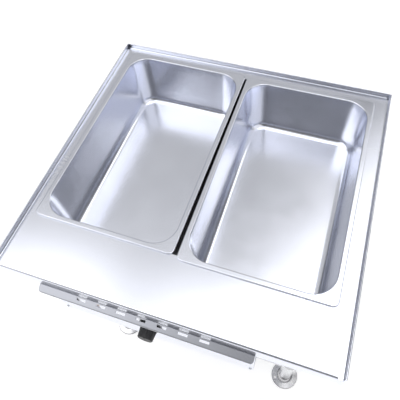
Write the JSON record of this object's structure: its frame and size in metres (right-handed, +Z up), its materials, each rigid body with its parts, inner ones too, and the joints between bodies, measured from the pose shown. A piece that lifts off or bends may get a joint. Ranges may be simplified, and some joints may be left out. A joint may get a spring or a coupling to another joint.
{
  "type": "steam table unit",
  "caption": "Stainless steam table on legs: a flat top with a raised edge, lift-out pans over a heated water bath, front controls, a drain valve and an undershelf.",
  "frame": {"origin": "on the floor, at the centre of the overall footprint", "axes": "+Z up, the front lip and the controls face -Y, +X is to the right of someone standing at the front"},
  "size_m": [0.716, 0.707, 0.873],
  "materials": {
    "amber_lens": "translucent",
    "bath_stainless": "mill",
    "black_plastic": "moulded",
    "brass": "machined",
    "cast_clamp": "cast",
    "chrome_ball": "polished",
    "chrome_bezel": "polished",
    "copper_line": "drawn copper",
    "element_sheath": "heat tinted",
    "galvanised_steel": "galvanised",
    "gasket_rubber": "matt",
    "leg_tube": "polished tube",
    "mineral_wool": "matt",
    "nickel_foot": "nickel plate",
    "pan_stainless": "bright drawn",
    "red_plastic": "gloss",
    "rocker_plastic": "gloss",
    "satin_stainless": "satin brushed",
    "shelf_stainless": "satin",
    "white_plastic": "moulded",
    "wire_sleeve": "silicone sleeve",
    "zinc_fasteners": "zinc plate"
  },
  "bodies": {
    "table": {"cable_gland": "black_plastic", "casing_bottom": "galvanised_steel", "casing_front": "satin_stainless", "casing_left": "satin_stainless", "casing_rear": "satin_stainless", "casing_right": "satin_stainless", "casing_screws": "zinc_fasteners", "control_box": "satin_stainless", "control_fascia": "satin_stainless", "countertop": "satin_stainless", "drain_elbow": "brass", "drain_nut": "brass", "drain_spud": "brass", "element_flanges": "brass", "element_gaskets": "gasket_rubber", "element_guard": "bath_stainless", "fascia_screws": "zinc_fasteners", "floor_insulation": "mineral_wool", "front_stiffener": "galvanised_steel", "gland_nut": "black_plastic", "heating_elements": "element_sheath", "lamp_bezels": "chrome_bezel", "lamp_lenses": "amber_lens", "leg_front_left": "leg_tube", "leg_front_right": "leg_tube", "leg_inserts": "zinc_fasteners", "leg_rear_left": "leg_tube", "leg_rear_right": "leg_tube", "leg_sockets": "galvanised_steel", "limit_body": "black_plastic", "rails": "galvanised_steel", "rocker_housing": "black_plastic", "sensor_bulb": "copper_line", "shelf_bolts": "zinc_fasteners", "shelf_clamps": "cast_clamp", "side_insulation": "mineral_wool", "socket_bolts": "zinc_fasteners", "socket_nuts": "zinc_fasteners", "socket_set_screws": "zinc_fasteners", "terminal_block": "white_plastic", "thermostat_body": "galvanised_steel", "undershelf": "shelf_stainless", "valve_body": "brass", "water_bath": "bath_stainless", "wires": "wire_sleeve"},
    "pan_left": {"pan_left": "pan_stainless"},
    "pan_right": {"pan_right": "pan_stainless"},
    "knob": {"thermostat_knob": "black_plastic", "thermostat_spindle": "zinc_fasteners"},
    "rocker": {"rocker": "rocker_plastic"},
    "limit_button": {"limit_button": "red_plastic"},
    "drain_handle": {"valve_ball": "chrome_ball", "valve_stem": "brass", "valve_lever": "zinc_fasteners", "lever_grip": "red_plastic", "lever_nut": "zinc_fasteners"},
    "foot_front_left": {"foot_front_left": "nickel_foot"},
    "foot_front_right": {"foot_front_right": "nickel_foot"},
    "foot_rear_left": {"foot_rear_left": "nickel_foot"},
    "foot_rear_right": {"foot_rear_right": "nickel_foot"}
  },
  "joints": [
    {"name": "pan_left_lift", "type": "slide", "parent": "table", "child": "pan_left", "axis": [0, 0, 1], "range_m": [0, 0.25]},
    {"name": "pan_right_lift", "type": "slide", "parent": "table", "child": "pan_right", "axis": [0, 0, 1], "range_m": [0, 0.25]},
    {"name": "thermostat_turn", "type": "hinge", "parent": "table", "child": "knob", "pos_m": [-0.028, -0.3215, 0.748], "axis": [0, 1, 0], "range_deg": [0, 270]},
    {"name": "power_rocker", "type": "hinge", "parent": "table", "child": "rocker", "pos_m": [-0.208, -0.32, 0.748], "axis": [-1, 0, 0], "range_deg": [0, 15]},
    {"name": "limit_reset", "type": "slide", "parent": "table", "child": "limit_button", "axis": [0, 1, 0], "range_m": [0, 0.002], "stiffness_N_per_m": 400},
    {"name": "drain_lever", "type": "hinge", "parent": "table", "child": "drain_handle", "pos_m": [0.232, -0.1595, 0.572], "axis": [0, 0, 1], "range_deg": [0, 90]},
    {"name": "foot_front_left_level", "type": "slide", "parent": "table", "child": "foot_front_left", "axis": [0, 0, 1], "range_m": [-0.025, 0]},
    {"name": "foot_front_right_level", "type": "slide", "parent": "table", "child": "foot_front_right", "axis": [0, 0, 1], "range_m": [-0.025, 0]},
    {"name": "foot_rear_left_level", "type": "slide", "parent": "table", "child": "foot_rear_left", "axis": [0, 0, 1], "range_m": [-0.025, 0]},
    {"name": "foot_rear_right_level", "type": "slide", "parent": "table", "child": "foot_rear_right", "axis": [0, 0, 1], "range_m": [-0.025, 0]}
  ]
}
